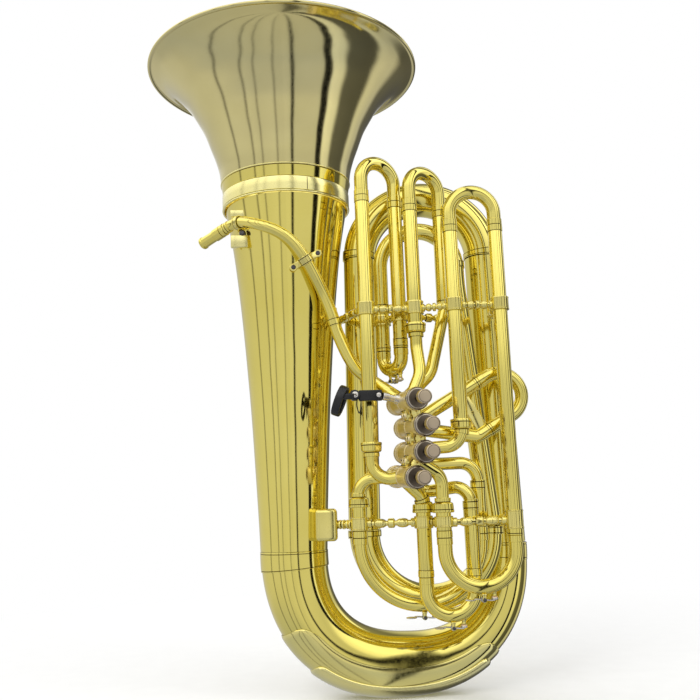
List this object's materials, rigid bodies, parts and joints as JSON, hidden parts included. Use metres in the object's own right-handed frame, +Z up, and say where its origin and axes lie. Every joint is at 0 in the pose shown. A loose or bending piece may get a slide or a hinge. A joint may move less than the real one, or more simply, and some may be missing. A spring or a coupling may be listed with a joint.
{
  "type": "tuba",
  "caption": "Upright brass tuba with a wide bell, front-facing piston valves, pull slides, water keys, braces and a thumb ring.",
  "frame": {"origin": "lowest point of the bottom bow's guard plate, midway between the bell and the outer branch", "axes": "+Z up along the bell's axis, +X from the bell towards the outer branch, -Y the side that the valve buttons face"},
  "size_m": [0.5245, 0.4024, 0.9026],
  "materials": {
    "lacquered_brass": "polished under clear lacquer",
    "nickel": "satin nickel",
    "spring_steel": "drawn wire",
    "black_plastic": "gloss black"
  },
  "bodies": {
    "horn": {"bell_flare": "lacquered_brass", "bell_ring": "lacquered_brass", "bell_stack": "lacquered_brass", "bottom_bow": "lacquered_brass", "bow_guard": "lacquered_brass", "outer_branch": "lacquered_brass", "top_bow": "lacquered_brass", "middle_branch": "lacquered_brass", "inner_bottom_bow": "lacquered_brass", "inner_branch": "lacquered_brass", "inner_top_bow": "lacquered_brass", "valve_block": "lacquered_brass", "top_cap_1": "nickel", "top_cap_2": "nickel", "top_cap_3": "nickel", "top_cap_4": "nickel", "valve_spring_1": "spring_steel", "valve_spring_2": "spring_steel", "valve_spring_3": "spring_steel", "valve_spring_4": "spring_steel", "tuning_leg_left": "lacquered_brass", "tuning_leg_right": "lacquered_brass", "first_leg_left": "lacquered_brass", "first_leg_right": "lacquered_brass", "third_leg_left": "lacquered_brass", "third_leg_right": "lacquered_brass", "third_leg_low": "lacquered_brass", "fourth_short_leg_left": "lacquered_brass", "fourth_short_leg_right": "lacquered_brass", "fourth_leg_left": "lacquered_brass", "fourth_leg_right": "lacquered_brass", "second_valve_legs": "lacquered_brass", "leadpipe": "lacquered_brass", "mouthpiece_receiver": "lacquered_brass", "leadpipe_clamp": "lacquered_brass", "receiver_bracket": "lacquered_brass", "upper_brace": "lacquered_brass", "inner_brace": "lacquered_brass", "lower_brace": "lacquered_brass", "thumb_arm": "black_plastic", "thumb_arm_post": "nickel"},
    "main_tuning_slide": {"main_tuning_slide": "lacquered_brass"},
    "first_valve_slide": {"first_valve_slide": "lacquered_brass"},
    "third_valve_upper_slide": {"third_valve_upper_slide": "lacquered_brass"},
    "fourth_valve_slide": {"fourth_valve_slide": "lacquered_brass"},
    "fourth_valve_short_slide": {"fourth_valve_short_slide": "lacquered_brass"},
    "third_valve_lower_slide": {"third_valve_lower_slide": "lacquered_brass"},
    "water_slide": {"water_slide": "lacquered_brass"},
    "second_valve_slide": {"second_valve_slide": "lacquered_brass"},
    "water_key_1": {"water_key_1": "nickel"},
    "water_key_2": {"water_key_2": "nickel"},
    "water_key_3": {"water_key_3": "nickel"},
    "water_key_4": {"water_key_4": "nickel"},
    "piston_1": {"piston_1": "nickel"},
    "piston_2": {"piston_2": "nickel"},
    "piston_3": {"piston_3": "nickel"},
    "piston_4": {"piston_4": "nickel"},
    "thumb_ring": {"thumb_ring": "black_plastic"}
  },
  "joints": [
    {"name": "main_tuning_slide_pull", "type": "slide", "parent": "horn", "child": "main_tuning_slide", "axis": [0, 0, 1], "range_m": [0, 0.04]},
    {"name": "first_valve_slide_pull", "type": "slide", "parent": "horn", "child": "first_valve_slide", "axis": [0, 0, 1], "range_m": [0, 0.04]},
    {"name": "third_valve_upper_slide_pull", "type": "slide", "parent": "horn", "child": "third_valve_upper_slide", "axis": [0, 0, 1], "range_m": [0, 0.04]},
    {"name": "fourth_valve_slide_pull", "type": "slide", "parent": "horn", "child": "fourth_valve_slide", "axis": [0, 0, -1], "range_m": [0, 0.025]},
    {"name": "fourth_valve_short_slide_pull", "type": "slide", "parent": "horn", "child": "fourth_valve_short_slide", "axis": [0, 0, -1], "range_m": [0, 0.03]},
    {"name": "third_valve_lower_slide_pull", "type": "slide", "parent": "horn", "child": "third_valve_lower_slide", "axis": [0, 0, -1], "range_m": [0, 0.02]},
    {"name": "water_slide_pull", "type": "slide", "parent": "horn", "child": "water_slide", "axis": [0, 0, -1], "range_m": [0, 0.012]},
    {"name": "second_valve_slide_pull", "type": "slide", "parent": "horn", "child": "second_valve_slide", "axis": [0.866, 0, 0.5], "range_m": [0, 0.008]},
    {"name": "water_key_1_hinge", "type": "hinge", "parent": "fourth_valve_slide", "child": "water_key_1", "pos_m": [0.02075, -0.05875, 0.10735], "axis": [0.0093, 1, 0], "range_deg": [0, 15], "stiffness_Nm_per_rad": 0.02, "springref_deg": -20.05},
    {"name": "water_key_2_hinge", "type": "hinge", "parent": "fourth_valve_short_slide", "child": "water_key_2", "pos_m": [0.054, -0.07975, 0.09559], "axis": [0.0238, 0.9997, 0], "range_deg": [0, 15], "stiffness_Nm_per_rad": 0.02, "springref_deg": -20.05},
    {"name": "water_key_3_hinge", "type": "hinge", "parent": "third_valve_lower_slide", "child": "water_key_3", "pos_m": [0.0915, -0.1, 0.1311], "axis": [0, 1, 0], "range_deg": [0, 15], "stiffness_Nm_per_rad": 0.02, "springref_deg": -20.05},
    {"name": "water_key_4_hinge", "type": "hinge", "parent": "water_slide", "child": "water_key_4", "pos_m": [-0.0045, -0.043, 0.4216], "axis": [0.8, 0.6, 0], "range_deg": [0, 15], "stiffness_Nm_per_rad": 0.02, "springref_deg": -20.05},
    {"name": "piston_1_press", "type": "slide", "parent": "horn", "child": "piston_1", "axis": [-0.1239, 0.9915, 0.0397], "range_m": [0, 0.018], "stiffness_N_per_m": 120, "springref_m": -0.03},
    {"name": "piston_2_press", "type": "slide", "parent": "horn", "child": "piston_2", "axis": [-0.1239, 0.9915, 0.0397], "range_m": [0, 0.018], "stiffness_N_per_m": 120, "springref_m": -0.03},
    {"name": "piston_3_press", "type": "slide", "parent": "horn", "child": "piston_3", "axis": [-0.1239, 0.9915, 0.0397], "range_m": [0, 0.018], "stiffness_N_per_m": 120, "springref_m": -0.03},
    {"name": "piston_4_press", "type": "slide", "parent": "horn", "child": "piston_4", "axis": [-0.1239, 0.9915, 0.0397], "range_m": [0, 0.018], "stiffness_N_per_m": 120, "springref_m": -0.03},
    {"name": "thumb_ring_turn", "type": "hinge", "parent": "horn", "child": "thumb_ring", "pos_m": [-0.065, -0.118, 0.3945], "axis": [0, 1, 0], "range_deg": [-30, 30]}
  ]
}
